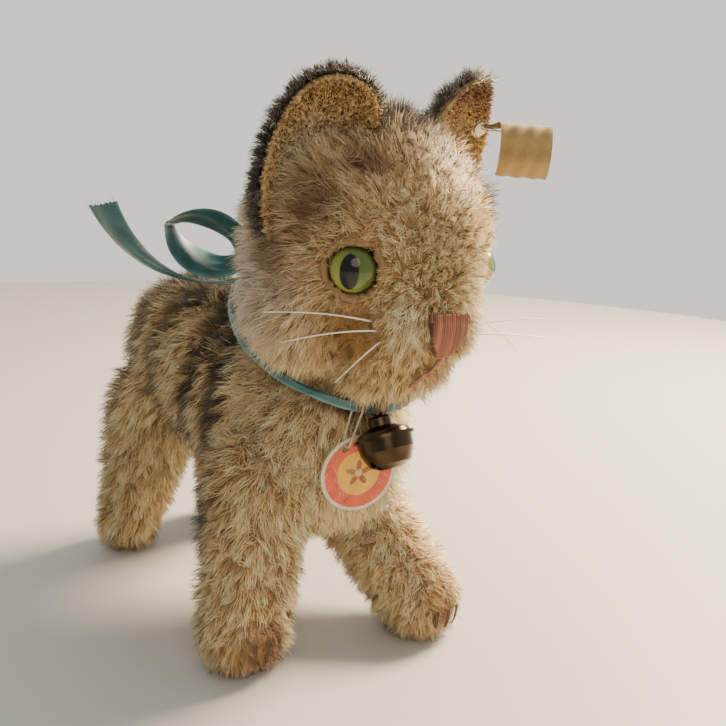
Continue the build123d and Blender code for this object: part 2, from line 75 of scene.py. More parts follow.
world = bpy.data.worlds.new("room")
bpy.context.scene.world = world
world.use_nodes = True
backdrop = world.node_tree.nodes["Background"]
backdrop.inputs["Color"].default_value = (0.86, 0.84, 0.77, 1)
around_room = world.node_tree.nodes.new("ShaderNodeTexCoord")
towards_window = world.node_tree.nodes.new("ShaderNodeVectorMath")
towards_window.operation = "DOT_PRODUCT"
towards_window.inputs[1].default_value = (0.76, 0.62, 0.18)
brightness = world.node_tree.nodes.new("ShaderNodeMapRange")
brightness.inputs["From Min"].default_value = -0.5
brightness.inputs["From Max"].default_value = 0.9
brightness.inputs["To Min"].default_value = 0.40
brightness.inputs["To Max"].default_value = 1.22
world.node_tree.links.new(around_room.outputs["Generated"], towards_window.inputs[0])
world.node_tree.links.new(towards_window.outputs["Value"], brightness.inputs["Value"])
world.node_tree.links.new(brightness.outputs["Result"], backdrop.inputs["Strength"])

heart = (0.0, -0.02, 0.07)
soft_light("window", (0.42, -0.02, 0.36), heart, 0.22, 12.0, (1.0, 0.80, 0.56))
soft_light("room_fill", (-0.35, -0.55, 0.45), heart, 0.5, 1.4, (1.0, 0.95, 0.88))

camera_data = bpy.data.cameras.new("view")
camera = bpy.data.objects.new("view", camera_data)
bpy.context.collection.objects.link(camera)
bpy.context.scene.camera = camera
camera_data.sensor_width = 36
camera_data.lens = 49.6
camera_data.clip_start = 0.01
eye_place = Vector((-0.1434, -0.1996, 0.1259))
ahead = Vector((0.6304, 0.7375, -0.2419)).normalized()
sideways = ahead.cross(Vector((0, 0, 1))).normalized()
upward = sideways.cross(ahead)
roll = math.radians(2.6)
sideways_rolled = sideways * math.cos(roll) + upward * math.sin(roll)
upward_rolled = upward * math.cos(roll) - sideways * math.sin(roll)
turn = Matrix((sideways_rolled, upward_rolled, -ahead)).transposed()
camera.matrix_world = Matrix.Translation(eye_place) @ turn.to_4x4()


# ---- body cloth: four sewn panels of mohair backing ----
# Each half of the body has a side panel and a belly panel that runs down the inside of the legs. They are
# woven cotton, sewn inside out, turned and stuffed hard, so the skin is smooth, with hollows at the legs.
def only(piece):
    bpy.ops.object.select_all(action="DESELECT")
    piece.select_set(True)
    bpy.context.view_layer.objects.active = piece


def apply_modifier(piece, kind, **settings):
    only(piece)
    modifier = piece.modifiers.new(kind.lower(), kind)
    for key, value in settings.items():
        setattr(modifier, key, value)
    bpy.ops.object.modifier_apply(modifier=modifier.name)


def stuffed_skin(nodes, name, voxel, rounds):
    """One closed skin over several solids of the frame, with its creases rounded by stuffing."""
    copies = []
    for node in nodes:
        copy = bpy.data.objects.new(name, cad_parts[node].data.copy())
        bpy.context.collection.objects.link(copy)
        copies.append(copy)
    bpy.ops.object.select_all(action="DESELECT")
    for copy in copies:
        copy.select_set(True)
    bpy.context.view_layer.objects.active = copies[0]
    bpy.ops.object.join()
    skin = bpy.context.active_object
    skin.data.materials.clear()
    apply_modifier(skin, "REMESH", mode="VOXEL", voxel_size=voxel)
    apply_modifier(skin, "SMOOTH", factor=0.6, iterations=rounds)
    return skin


def points_of(mesh):
    flat = np.zeros(len(mesh.vertices) * 3)
    mesh.vertices.foreach_get("co", flat)
    return flat.reshape(-1, 3)


def normals_of(mesh):
    flat = np.zeros(len(mesh.vertices) * 3)
    mesh.vertices.foreach_get("normal", flat)
    return flat.reshape(-1, 3)


def set_points(mesh, points):
    mesh.vertices.foreach_set("co", points.ravel())
    mesh.update()


def cut_panels(skin, nodes):
    """Parts a whole skin into one piece for each panel: every face goes to the solid it is nearest to."""
    trees = []
    for node in nodes:
        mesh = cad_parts[node].data
        corners = [vertex.co for vertex in mesh.vertices]
        trees.append(BVHTree.FromPolygons(corners, [face.vertices for face in mesh.polygons]))
    owner = []
    for face in skin.data.polygons:
        gaps = [tree.find_nearest(face.center)[3] for tree in trees]
        owner.append(gaps.index(min(gaps)))
    points = points_of(skin.data)
    panels = {}
    for number, node in enumerate(nodes):
        faces = [face.vertices[:] for face, who in zip(skin.data.polygons, owner) if who == number]
        used = sorted({corner for face in faces for corner in face})
        place = {corner: spot for spot, corner in enumerate(used)}
        mesh = bpy.data.meshes.new(node + "_cloth")
        faces = [[place[corner] for corner in face] for face in faces]
        mesh.from_pydata([points[corner] for corner in used], [], faces)
        panel = bpy.data.objects.new(node + "_cloth", mesh)
        bpy.context.collection.objects.link(panel)
        mesh.polygons.foreach_set("use_smooth", [True] * len(mesh.polygons))
        panels[node] = panel
    bpy.data.objects.remove(skin)
    return panels


SHIFT = np.array((-0.5, 3.33, 0.0))  # millimetres, the kitten's own frame to the shared one
BODY_PANELS = ("body_right_side", "body_left_side", "underbody_right", "underbody_left")
body_skin = stuffed_skin(BODY_PANELS + ("body_stuffing",), "body_skin", 1.3 * MM, 14)
body_points = points_of(body_skin.data) - normals_of(body_skin.data) * 0.7 * MM
low = body_points[:, 2].min()
sole = body_points[:, 2] < 3 * MM
body_points[sole, 2] = 0.4 * MM + (body_points[sole, 2] - low) * (2.6 * MM) / (3 * MM - low)
set_points(body_skin.data, body_points)
body_panels = cut_panels(body_skin, BODY_PANELS)

# ---- pile: mohair woven into the backing ----
# Long soft tufts stand out of the cloth, worn thin on the face and the paws, lying down and back from the
# nose. The dark tabby stripes are painted on the tips, so the roots stay golden.
GOLD = np.array((0.72, 0.44, 0.16))
CREAM = np.array((0.95, 0.76, 0.46))
TAN = np.array((0.84, 0.53, 0.22))
GREY_WHITE = np.array((0.80, 0.71, 0.58))
CHARCOAL = np.array((0.035, 0.026, 0.020))
BROWN = np.array((0.16, 0.085, 0.040))
RUST = np.array((0.26, 0.085, 0.035))
SPENT = np.array((0.34, 0.17, 0.045))


def spot(places, centre, reach):
    """How far inside a soft round spot each place is, from 0 to 1."""
    return np.exp(-(((places - np.array(centre)) / np.array(reach)) ** 2).sum(1))


def mixed(colours, other, share):
    share = np.clip(share, 0, 1)[:, None]
    return colours * (1 - share) + other * share


def grow_pile(name, cloth, count, seed, length, comb, lift, paint, clump=14, width=0.15, keep=None):
    """Tufts of tapered hairs over one panel. length, lift and paint depend on each root's place."""
    tame = 0.5  # how far a tuft's tips are drawn together
    mesh = cloth.data
    mesh.calc_loop_triangles()
    corners = np.zeros(len(mesh.loop_triangles) * 3, np.int64)
    mesh.loop_triangles.foreach_get("vertices", corners)
    corners = corners.reshape(-1, 3)
    points = points_of(mesh)
    normals = normals_of(mesh)
    a, b, c = (points[corners[:, k]] for k in range(3))
    area = np.linalg.norm(np.cross(b - a, c - a), axis=1)
    if keep is not None:
        area = area * keep((a + b + c) / 3 / MM - SHIFT, np.cross(b - a, c - a))
    chance = np.random.default_rng(seed)
    pick = chance.choice(len(corners), size=count, p=area / area.sum())
    u, v = chance.random((2, count))
    over = u + v > 1
    u[over], v[over] = 1 - u[over], 1 - v[over]
    share = np.stack((1 - u - v, u, v), 1)[:, :, None]
    root = (points[corners[pick]] * share).sum(1)
    normal = (normals[corners[pick]] * share).sum(1)
    normal /= np.linalg.norm(normal, axis=1)[:, None]
    place = root / MM - SHIFT
    lean = comb(place, normal)
    lean -= normal * (lean * normal).sum(1)[:, None]
    lean /= np.linalg.norm(lean, axis=1)[:, None] + 0.05
    tufts = max(2, count // clump)
    tree = KDTree(tufts)
    for k in range(tufts):
        tree.insert(root[k], k)
    tree.balance()
    tuft = np.array([tree.find(spot_)[1] for spot_ in root])
    tilt = chance.normal(0, 0.30, (tufts, 3))[tuft]
    reach = length(place) * MM * (0.85 + 0.3 * chance.random(tufts))[tuft]
    reach = reach * (0.75 + 0.5 * chance.random(count))
    up = lift(place)[:, None]
    way = normal * up + lean * (1.15 - up) + tilt + chance.normal(0, 0.22, (count, 3))
    inward = (way * normal).sum(1)
    way += normal * np.clip(0.25 - inward, 0, None)[:, None]
    way /= np.linalg.norm(way, axis=1)[:, None]
    tip = root + way * reach[:, None]
    gather = tip[tuft] + (tip - tip[tuft]) * 0.35
    side = np.cross(way, normal)
    side /= np.linalg.norm(side, axis=1)[:, None] + 1e-6
    roll_ = chance.normal(0, 0.55, count)[:, None]
    side = side * np.cos(roll_) + np.cross(way, side) * np.sin(roll_)
    wave = chance.normal(0, 0.10, count)[:, None] * reach[:, None]
    steps = (0.0, 0.42, 0.76)
    half = (0.5 * width * MM * (0.7 + 0.6 * chance.random(count)))[:, None]
    rows = []
    for t, w in zip(steps, (1.0, 0.9, 0.62)):
        middle = root + way * reach[:, None] * t - np.array((0, 0, 1)) * reach[:, None] * 0.16 * t * t
        middle = middle + (gather - tip) * tame * t ** 1.5 + np.cross(way, side) * wave * math.sin(3.4 * t)
        rows += [middle - side * half * w, middle + side * half * w]
    end = tip + (gather - tip) * tame - np.array((0, 0, 1)) * reach[:, None] * 0.16
    rows.append(end - np.cross(way, side) * wave * 0.3)
    points = np.stack(rows, 1)
    points[:, :, 2] = np.maximum(points[:, :, 2], 0.15 * MM)
    first = np.arange(count)[:, None] * 7
    strip = np.array((0, 1, 3, 2, 2, 3, 5, 4, 4, 5, 6))
    pile = bpy.data.meshes.new(name)
    pile.vertices.add(count * 7)
    pile.vertices.foreach_set("co", points.ravel())
    pile.loops.add(count * 11)
    pile.polygons.add(count * 3)
    starts = np.arange(count)[:, None] * 11 + np.array((0, 4, 8))
    pile.polygons.foreach_set("loop_start", starts.ravel().astype(np.int32))
    pile.polygons.foreach_set("vertices", (first + strip).ravel().astype(np.int32))
    pile.polygons.foreach_set("use_smooth", np.ones(count * 3, bool))
    cells = math.ceil(math.sqrt(count))
    column, row = np.arange(count) % cells, np.arange(count) // cells
    across = np.array((0.2, 0.8, 0.2, 0.8, 0.2, 0.8, 0.5))
    along = np.array((0.15, 0.15, 0.42, 0.42, 0.68, 0.68, 0.88))
    flat = np.stack(((column[:, None] + across) / cells, (row[:, None] + along) / cells), 2)
    bake = pile.uv_layers.new(name="OFBake")
    bake.data.foreach_set("uv", flat[:, strip].ravel())
    pile.update(calc_edges=True)
    tint = (1 + chance.normal(0, 0.16, tufts)[tuft] + chance.normal(0, 0.12, count))[:, None]
    # Painted shade and light along each hair: darker at the roots, deep in the pile where shade falls, and
    # lighter at the tips, a painted highlight.
    painted_root_shade_tip_light = (0.78, 0.78, 0.95, 0.95, 1.08, 1.08, 1.2)
    roots, tips = paint(place, chance.normal(0, 1, tufts)[tuft])
    tone = np.stack([(roots * (1 - s) + tips * s) * tint * f for s, f in
                     zip((0, 0, 0.45, 0.45, 0.85, 0.85, 1), painted_root_shade_tip_light)], 1)
    shade = pile.color_attributes.new("dye", "FLOAT_COLOR", "POINT")
    rgba = np.ones((count * 7, 4), np.float32)
    rgba[:, :3] = np.clip(tone.reshape(-1, 3), 0.004, 0.95)
    shade.data.foreach_set("color", rgba.ravel())
    face_out = np.repeat(normal * 0.75 + way * 0.15, 7, 0) + chance.normal(0, 0.12, (count * 7, 3))
    face_out /= np.linalg.norm(face_out, axis=1)[:, None]
    pile.normals_split_custom_set_from_vertices(face_out)
    piece = bpy.data.objects.new(name, pile)
    bpy.context.collection.objects.link(piece)
    piece.data.materials.append(hair_finish)
    return piece


hair_finish, hair_nodes, hair_shader = colour_material("mohair", (0.6, 0.45, 0.28), 0.5)
dye = hair_nodes.nodes.new("ShaderNodeAttribute")
dye.attribute_name = "dye"
hair_nodes.links.new(dye.outputs["Color"], hair_shader.inputs["Base Color"])
hair_shader.inputs["Specular IOR Level"].default_value = 0.35
hair_shader.inputs["Sheen Weight"].default_value = 0.15
hair_shader.inputs["Sheen Roughness"].default_value = 0.4

backing, backing_nodes, backing_shader = colour_material("mohair backing", (0.30, 0.19, 0.09), 0.9)
weave_place = backing_nodes.nodes.new("ShaderNodeTexCoord")
weave = backing_nodes.nodes.new("ShaderNodeTexVoronoi")
weave.inputs["Scale"].default_value = 1600
backing_nodes.links.new(weave_place.outputs["Object"], weave.inputs["Vector"])
weave_tone = backing_nodes.nodes.new("ShaderNodeMix")
weave_tone.data_type = "RGBA"
weave_tone.inputs["A"].default_value = (0.40, 0.25, 0.10, 1)
weave_tone.inputs["B"].default_value = (0.20, 0.11, 0.05, 1)
backing_nodes.links.new(weave.outputs["Distance"], weave_tone.inputs["Factor"])
backing_nodes.links.new(weave_tone.outputs["Result"], backing_shader.inputs["Base Color"])
weave_bump = backing_nodes.nodes.new("ShaderNodeBump")
weave_bump.inputs["Strength"].default_value = 0.4
weave_bump.inputs["Distance"].default_value = 0.0002
backing_nodes.links.new(weave.outputs["Distance"], weave_bump.inputs["Height"])
backing_nodes.links.new(weave_bump.outputs["Normal"], backing_shader.inputs["Normal"])


def lower_legs(place):
    return np.clip((44 - place[:, 2]) / 18, 0, 1)


def body_length(place):
    grown = 4.9 - 1.6 * lower_legs(place)
    worn = spot(place, (-26.5, -37, 9), (3.2, 7, 9)) + spot(place, (20.5, -49, 10), (6, 6, 6))
    return grown * (1 - 0.72 * np.clip(worn, 0, 1))


def body_comb(place, normal):
    down = np.tile((0.0, 0.35, -1.0), (len(place), 1))
    outward = np.stack((np.sign(place[:, 0]) * 0.2, np.zeros(len(place)), np.zeros(len(place))), 1)
    return down + outward


def body_lift(place):
    return np.full(len(place), 0.62)


def body_paint(place, whim):
    x, y, z = place.T
    roots = np.tile(GOLD, (len(place), 1))
    tips = mixed(np.tile(CREAM, (len(place), 1)), TAN, 0.22 + 0.28 * whim)
    roots = mixed(roots, BROWN, 0.04 + 0.12 * whim)
    ragged = whim * 1.1
    spine = np.exp(-((x / (8.0 + 1.5 * whim)) ** 4)) * (z > 62)
    bands = np.zeros(len(place))
    for centre, half in ((-4, 3.6), (7, 3.2), (23, 3.0), (38, 3.0)):
        wander = 2.2 * np.sin(z / 6.5 + centre)
        bands = np.maximum(bands, np.exp(-(((y - centre - wander + ragged) / half) ** 4)))
    bands *= np.clip((z - 36) / 8, 0, 1) * (np.abs(x) > 4) * np.where(y < 14, 1.0, 0.7)
    shoulder = spot(place, (-30, -16, 36), (8, 7, 9)) + spot(place, (30, -20, 36), (8, 7, 9))
    dark = np.clip(spine + bands + shoulder * 1.3, 0, 1)
    tips = mixed(tips, CHARCOAL, dark * 1.15)
    roots = mixed(roots, CHARCOAL, dark * 0.9)
    paw = spot(place, (-26.5, -37, 7), (6, 8, 8)) + spot(place, (20.5, -50, 9), (7, 5, 7))
    tips = mixed(tips, RUST, paw * 0.9)
    roots = mixed(roots, RUST, paw * 0.7)
    return roots, tips


for number, (node, count) in enumerate(zip(BODY_PANELS, (38000, 30000, 22000, 22000))):
    pile = grow_pile(node + "_pile", body_panels[node], count, 11 + number, body_length, body_comb,
                     body_lift, body_paint)
    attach(pile, "body")
    panel = body_panels[node]
    apply_modifier(panel, "SOLIDIFY", thickness=0.8 * MM, offset=-1)
    panel.data.materials.append(backing)
    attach(panel, "body")
    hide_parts(node)


# ---- tail: a short mohair tube over a wire, laid round the left hip ----
# Its skin is the same cloth rolled and sewn along its underside, with the pile pressed flat against the hip.
tail_skin = stuffed_skin(("tail_cover",), "tail_skin", 0.8 * MM, 5)
set_points(tail_skin.data, points_of(tail_skin.data) - normals_of(tail_skin.data) * 1.0 * MM)
tail_cloth = cut_panels(tail_skin, ("tail_cover",))["tail_cover"]


def tail_paint(place, whim):
    ring = 0.5 + 0.5 * np.sin(place[:, 2] * 1.05 + place[:, 0] * 0.5)
    tips = mixed(np.tile(CREAM, (len(place), 1)), CHARCOAL, ring ** 3 * 0.9)
    return np.tile(GOLD, (len(place), 1)), tips


tail_pile = grow_pile("tail_cover_pile", tail_cloth, 7000, 31, lambda p: np.full(len(p), 3.2),
                      body_comb, lambda p: np.full(len(p), 0.6), tail_paint)
tail_cloth.data.materials.append(backing)
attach(tail_pile, "body")
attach(tail_cloth, "body")
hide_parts("tail_cover")

# ---- head cloth and its pile ----
# Two side panels and a gusset that runs from the nose over the crown to the nape. The pile is worn almost
# bare under the eyes, short on the nose and long on the cheeks and crown, and it leans away from the nose.
NECK = np.array((0.0, -23.86, 75.99))
HEAD_TILT = math.radians(3.3)
HEAD_PANELS = ("head_right_side", "head_left_side", "head_gusset")
tilt_back = np.array(Matrix.Rotation(-HEAD_TILT, 3, "Y"))


def in_face(place):
    """Millimetres in the head's own upright frame."""
    return (place - NECK) @ tilt_back.T + NECK


def both_sides(h, centre, reach):
    x, y, z = centre
    return spot(h, (x, y, z), reach) + spot(h, (-x, y, z), reach)


head_skin = stuffed_skin(HEAD_PANELS + ("head_stuffing",), "head_skin", 1.0 * MM, 9)
head_points = points_of(head_skin.data)
head_out = normals_of(head_skin.data)
h = in_face(head_points / MM - SHIFT)
draw_in = 0.8 + 0.9 * both_sides(h, (17, -50, 95), (7, 7, 7)) + 0.5 * both_sides(h, (14, -51, 84), (7, 6, 6))
draw_in -= 1.3 * both_sides(h, (22, -40, 84), (8, 8, 8)) + 0.9 * spot(h, (0, -57, 92), (5, 6, 7))
set_points(head_skin.data, head_points - head_out * draw_in[:, None] * MM)
head_panels = cut_panels(head_skin, HEAD_PANELS)


def head_length(place):
    h = in_face(place)
    front = np.clip((-h[:, 1] - 44) / 10, 0, 1)
    grown = 4.8 - 2.2 * front + 1.0 * both_sides(h, (24, -36, 86), (9, 9, 10))
    grown += 3.6 * both_sides(h, (18, -43, 110), (8, 7, 7)) + 2.8 * spot(h, (0, -38, 126), (12, 9, 6))
    bare = both_sides(h, (14.5, -50.5, 83), (7.5, 7, 7)) + both_sides(h, (17, -51.5, 95), (6.5, 6.5, 6.5))
    grown = grown * (1 - 0.72 * np.clip(bare, 0, 1))
    tuft = both_sides(h, (8.5, -58.5, 86.5), (4.2, 4.5, 6.5))
    grown = grown * (1 - 0.35 * spot(h, (0, -60, 82), (8, 6, 8))) + 2.2 * np.clip(tuft, 0, 1)
    return np.clip(grown, 0.8, 8.0)


def head_comb(place, normal):
    h = in_face(place)
    away = h - np.array((0, -62, 86))
    away /= np.linalg.norm(away, axis=1)[:, None]
    away[:, 2] -= 0.75 * np.clip((100 - h[:, 2]) / 16, 0, 1)
    return away


def head_lift(place):
    h = in_face(place)
    crown = spot(h, (0, -36, 130), (18, 16, 10))
    return 0.55 + 0.35 * np.clip(crown, 0, 1)


def head_paint(place, whim):
    h = in_face(place)
    x, y, z = h.T
    tips = mixed(np.tile(CREAM, (len(h), 1)), TAN, 0.40 + 0.35 * whim)
    roots = mixed(np.tile(GOLD, (len(h), 1)), BROWN, 0.03 + 0.10 * whim)
    cheek = both_sides(h, (25, -36, 88), (9, 10, 10)) + both_sides(h, (27, -26, 95), (8, 10, 12))
    tips = mixed(tips, GREY_WHITE, cheek * 0.85)
    bare = both_sides(h, (14.5, -51, 82.5), (7.5, 7, 7))
    tips = mixed(tips, SPENT, bare * 1.3)
    roots = mixed(roots, SPENT, bare * 0.9)
    tuft = both_sides(h, (8.5, -58.5, 86.5), (4.2, 4.5, 6.5))
    tips = mixed(tips, CREAM * 1.1, tuft * 1.2)
    patch = both_sides(h, (21, -44, 106), (5, 6, 6)) + 0.7 * both_sides(h, (25, -38, 97), (3, 6, 6))
    brow = 1.1 * both_sides(h, (14, -50, 115), (4.5, 5, 3.5))
    brow = brow + 0.7 * both_sides(h, (5, -52, 119), (2.2, 6, 6))
    patch += brow
    tips = mixed(tips, BROWN, patch * (1.1 + 0.25 * whim))
    roots = mixed(roots, BROWN, patch * 0.9)
    crown = 1.5 * spot(h, (0, -40, 125), (14, 12, 8)) + 0.8 * both_sides(h, (11, -16, 112), (3.0, 14, 18))
    crown += 0.8 * spot(h, (0, -10, 108), (3.2, 10, 16))
    tips = mixed(tips, CHARCOAL, crown * (0.85 + 0.2 * whim))
    roots = mixed(roots, CHARCOAL, crown * 0.5)
    mouth = spot(h, (0, -60, 76), (4, 5, 3.5))
    tips = mixed(tips, RUST, mouth * 0.5)
    return roots, tips


def away_from_face_parts(h_place, normal):
    h = in_face(h_place)
    right_gap = np.linalg.norm(h - np.array((-17, -50.3, 95)), axis=1)
    left_gap = np.linalg.norm(h - np.array((17, -50.3, 95)), axis=1)
    nose = (np.abs(h[:, 0]) < 4.6) & (h[:, 2] > 79) & (h[:, 2] < 86.6) & (h[:, 1] < -50)
    return ((right_gap > 4.5) & (left_gap > 4.5) & ~nose).astype(float)


for number, (node, count) in enumerate(zip(HEAD_PANELS, (38000, 24000, 24000))):
    pile = grow_pile(node + "_pile", head_panels[node], count, 41 + number, head_length, head_comb,
                     head_lift, head_paint, keep=away_from_face_parts, width=0.13)
    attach(pile, "head")
    panel = head_panels[node]
    apply_modifier(panel, "SOLIDIFY", thickness=0.8 * MM, offset=-1)
    panel.data.materials.append(backing)
    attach(panel, "head")
    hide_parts(node)

# ---- ears: a velvet lining sewn to a mohair back, cupped, with the seam at the rim ----
# The lining is a short golden nap, worn pale in the hollow. The back is dark mohair with grey tips.
lining_cloth, _, _ = colour_material("ear lining cloth", (0.66, 0.44, 0.20), 0.9)
EAR_FACINGS = {-1: (-0.30, -0.86, -0.40), 1: (0.10, -0.93, -0.35)}


def nap_paint(place, whim):
    h = in_face(place)
    from_middle = np.stack((np.abs(h[:, 0]) - 19, h[:, 1] + 40, h[:, 2] - 114), 1)
    hollow = np.exp(-(np.linalg.norm(from_middle / np.array((8, 12, 9)), axis=1) ** 3))
    tips = mixed(np.tile((0.88, 0.55, 0.22), (len(h), 1)), RUST, np.clip(0.06 + 0.30 * whim, 0, 0.6))
    tips = mixed(tips, np.array((0.90, 0.78, 0.56)), hollow * 0.95)
    tips = mixed(tips, RUST * 0.8, (h[:, 0] > 0) * np.clip((h[:, 2] - 127) / 5, 0, 1) * 0.8)
    # The roots are the tips' colour darkened: painted shade deep in the nap.
    return tips * 0.85, tips


def ear_back_paint(place, whim):
    tips = mixed(np.tile((0.17, 0.13, 0.10), (len(place), 1)), GREY_WHITE, np.clip(0.25 + 0.45 * whim, 0, 1))
    return np.tile(CHARCOAL, (len(place), 1)), tips


def ear_comb(place, normal):
    h = in_face(place)
    out = h - np.array((0, -38, 104))
    out /= np.linalg.norm(out, axis=1)[:, None]
    return out


for side, name, seed in ((-1, "right", 51), (1, "left", 61)):
    facing = np.array(EAR_FACINGS[side])
    facing /= np.linalg.norm(facing)

    def in_front(place, normal, facing=facing):
        return (normal @ facing / np.linalg.norm(normal, axis=1) > 0.15).astype(float)

    def behind(place, normal, facing=facing):
        return (normal @ facing / np.linalg.norm(normal, axis=1) < 0.05).astype(float)

    for layer, grow, count, long, lift, paint, width in (
            ("lining", in_front, 14000, 0.9, 0.85, nap_paint, 0.16),
            ("back", behind, 12000, 3.6, 0.55, ear_back_paint, 0.14)):
        node = f"{name}_ear_{layer}"
        cloth = stuffed_skin((node,), node + "_cloth", 0.42 * MM, 3)
        cloth.data.polygons.foreach_set("use_smooth", [True] * len(cloth.data.polygons))
        pile = grow_pile(node + "_pile", cloth, count, seed, lambda p, long=long: np.full(len(p), long),
                         ear_comb, lambda p, lift=lift: np.full(len(p), lift), paint, keep=grow, width=width,
                         clump=9)
        cloth.data.materials.append(lining_cloth if layer == "lining" else backing)
        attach(pile, "head")
        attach(cloth, "head")
        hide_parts(node)

# ---- glass eyes ----
# Each is a blown dome of clear glass, painted green with an upright black pupil on its flat back, and held
# by a wire loop. The green is lighter towards the lower left as seen from the front, painted light through
# the glass, and darker towards the top, painted shade of the brow. It is dark at the edge of the glass.
EYE_R = 5.2
EYE_BACK = -2.4


def from_face(h):
    """Metres in the shared frame, from millimetres in the head's own upright frame."""
    return ((np.asarray(h, float) - NECK) @ tilt_back + NECK + SHIFT) * MM


def unit(way):
    way = np.asarray(way, float)
    return way / np.linalg.norm(way)


def new_piece(name, points, faces, smooth=True):
    mesh = bpy.data.meshes.new(name)
    mesh.from_pydata([tuple(p) for p in points], [], [tuple(int(c) for c in f) for f in faces])
    mesh.polygons.foreach_set("use_smooth", [smooth] * len(mesh.polygons))
    piece = bpy.data.objects.new(name, mesh)
    bpy.context.collection.objects.link(piece)
    return piece


def dyed_material(name, roughness, sockets):
    """A finish whose colour is painted on the piece itself."""
    material, tree, shader = colour_material(name, (0.5, 0.5, 0.5), roughness)
    painted = tree.nodes.new("ShaderNodeAttribute")
    painted.attribute_name = "dye"
    tree.links.new(painted.outputs["Color"], shader.inputs["Base Color"])
    for socket, value in sockets.items():
        shader.inputs[socket].default_value = value
    return material


def dye_points(piece, colours):
    shade = piece.data.color_attributes.new("dye", "FLOAT_COLOR", "POINT")
    rgba = np.ones((len(piece.data.vertices), 4), np.float32)
    rgba[:, :3] = np.clip(colours, 0.003, 0.95)
    shade.data.foreach_set("color", rgba.ravel())


def grid_faces(rows, columns, ring):
    """Quads over rows of points. With ring, the last point of each row joins the first."""
    faces = []
    for row in range(rows - 1):
        for column in range(columns if ring else columns - 1):
            beside = (column + 1) % columns
            faces.append((row * columns + column, row * columns + beside,
                          (row + 1) * columns + beside, (row + 1) * columns + column))
    return faces


eye_glass = dyed_material("painted glass eye", 0.22, {"Coat Weight": 0.7, "Coat Roughness": 0.02,
                                                      "Specular IOR Level": 0.15})
for side, name in ((-1, "right_eye"), (1, "left_eye")):
    middle = np.array((side * 17, -50.3, 95.0))
    facing = unit(middle - np.array((0, -34.5, 98)))
    across = unit(np.cross(-facing, (0, 0, 1)))
    upright = np.cross(across, -facing)
    rim = math.acos(EYE_BACK / EYE_R)
    turns = np.arange(96) * 2 * math.pi / 96
    rings = [(EYE_R * math.sin(a), EYE_R * math.cos(a)) for a in np.linspace(0.02, rim, 50)]
    rings += [(EYE_R * math.sin(rim) * share, EYE_BACK) for share in (0.97, 0.6, 0.02)]
    flat_u = np.array([reach * np.cos(turns) for reach, _ in rings]).ravel()
    flat_v = np.array([reach * np.sin(turns) for reach, _ in rings]).ravel()
    deep = np.repeat([height for _, height in rings], 96)
    spots = middle + flat_u[:, None] * across + flat_v[:, None] * upright + deep[:, None] * facing
    faces = grid_faces(len(rings), 96, True)
    faces.append(tuple(range(95, -1, -1)))
    faces.append(tuple(range((len(rings) - 1) * 96, len(rings) * 96)))
    eye = new_piece(name, from_face(spots), [face[::-1] for face in faces])
    u, v = flat_u / EYE_R, flat_v / EYE_R
    from_centre = np.hypot(u, v)
    # Painted light and shade: the green is lighter to the lower left as seen from the front, where light
    # through the glass falls, and darker towards the top, in the brow's painted shade.
    paint = mixed(np.tile((0.085, 0.13, 0.022), (len(u), 1)), np.array((0.34, 0.38, 0.07)),
                  np.clip(0.30 - 0.85 * u - 0.50 * v, 0, 1))
    fleck = 0.5 + 0.5 * np.sin(23 * np.arctan2(v, u) + 5 * from_centre)
    paint = mixed(paint, np.array((0.12, 0.15, 0.03)), 0.22 * fleck * (from_centre > 0.3))
    paint = mixed(paint, np.array((0.02, 0.02, 0.01)), (from_centre - 0.80) / 0.12)
    paint = mixed(paint, np.array((0.02, 0.02, 0.01)), (deep < 0.4) * 1.0)
    almond = np.abs(u + 0.06) / (0.37 * np.sqrt(np.clip(1 - (v / 0.70) ** 2, 0.001, 1)))
    paint = mixed(paint, np.array((0.004, 0.004, 0.004)), (1.08 - almond) / 0.12 * (np.abs(v) < 0.70))
    dye_points(eye, paint)
    eye.data.materials.append(eye_glass)
    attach(eye, "head")
    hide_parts(name)

# ---- nose, mouth and claws: stitched in cotton floss ----
# The nose is upright satin stitches of rust floss over a small pad. The mouth is a short upright stitch
# with a slant at each side. Of the claws only a few worn threads are left across the front paws.

def tubes(name, paths, radii, sides=6):
    """One mesh of round threads, each along a line of points, with a radius at every point."""
    points, faces, start = [], [], 0
    turns = np.arange(sides) * 2 * math.pi / sides
    for path, radius in zip(paths, radii):
        path = np.asarray(path, float)
        ahead_ = np.gradient(path, axis=0)
        ahead_ /= np.linalg.norm(ahead_, axis=1)[:, None]
        side_ = np.cross(ahead_, (0.31, 0.22, 0.92))
        side_ /= np.linalg.norm(side_, axis=1)[:, None]
        other = np.cross(side_, ahead_)
        radius = np.broadcast_to(radius, len(path))[:, None, None] * MM
        ring = side_[:, None] * np.cos(turns)[None, :, None] + other[:, None] * np.sin(turns)[None, :, None]
        points.append((path[:, None] + ring * radius).reshape(-1, 3))
        faces += [tuple(corner + start for corner in face) for face in grid_faces(len(path), sides, True)]
        faces.append(tuple(start + k for k in range(sides - 1, -1, -1)))
        faces.append(tuple(start + (len(path) - 1) * sides + k for k in range(sides)))
        start += len(path) * sides
    return new_piece(name, np.concatenate(points), faces)


def tree_of(*nodes):
    corners, faces = [], []
    for node in nodes:
        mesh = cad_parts[node].data
        base = len(corners)
        corners += [v.co.copy() for v in mesh.vertices]
        faces += [[base + c for c in p.vertices] for p in mesh.polygons]
    return BVHTree.FromPolygons(corners, faces)


def laid_on(tree, line, lift):
    """Where a line of (x, z) in the head's frame falls on a surface when it is pressed on from the front."""
    found = []
    for x, z in line:
        start = Vector(from_face((x, -85.0, z)))
        way = (Vector(from_face((x, -40.0, z))) - start).normalized()
        hit, normal, _, _ = tree.ray_cast(start, way, 0.06)
        if hit is not None:
            if normal.dot(way) > 0:
                normal = -normal
            found.append(np.array(hit + normal * lift * MM))
    return np.array(found)


